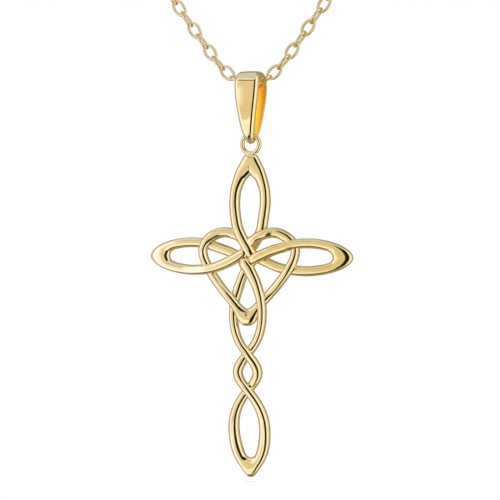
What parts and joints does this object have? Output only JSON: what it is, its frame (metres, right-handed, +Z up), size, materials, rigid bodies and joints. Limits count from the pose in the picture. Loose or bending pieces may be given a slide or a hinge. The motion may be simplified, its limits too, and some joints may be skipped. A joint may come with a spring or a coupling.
{
  "type": "cross pendant necklace",
  "caption": "Gold cross woven of rounded bands with a heart band woven through it, hung by a ring and a tapered folded bail from a fine cable chain closed by a plain clasp.",
  "frame": {"origin": "the middle of the clasp at the nape, where the chain rests when the necklace is worn", "axes": "+Z up, the pendant's face looks along -Y, and +X is to the right of a viewer who faces it"},
  "size_m": [0.1186, 0.1077, 0.1419],
  "materials": {
    "pendant_gold": "polished yellow gold",
    "bail_gold": "polished yellow gold",
    "chain_gold": "polished yellow gold"
  },
  "bodies": {
    "chain_loop": {"chain": "chain_gold", "clasp": "chain_gold"},
    "bail": {"bail": "bail_gold"},
    "pendant": {"cross_pendant": "pendant_gold"}
  },
  "joints": [
    {"name": "bail_swing", "type": "hinge", "parent": "chain_loop", "child": "bail", "pos_m": [0, -0.105, -0.1016], "axis": [1, 0, 0], "range_deg": [-80, 80]},
    {"name": "pendant_sway", "type": "hinge", "parent": "bail", "child": "pendant", "pos_m": [0, -0.105, -0.10739], "axis": [0, 1, 0], "range_deg": [-60, 60]}
  ]
}
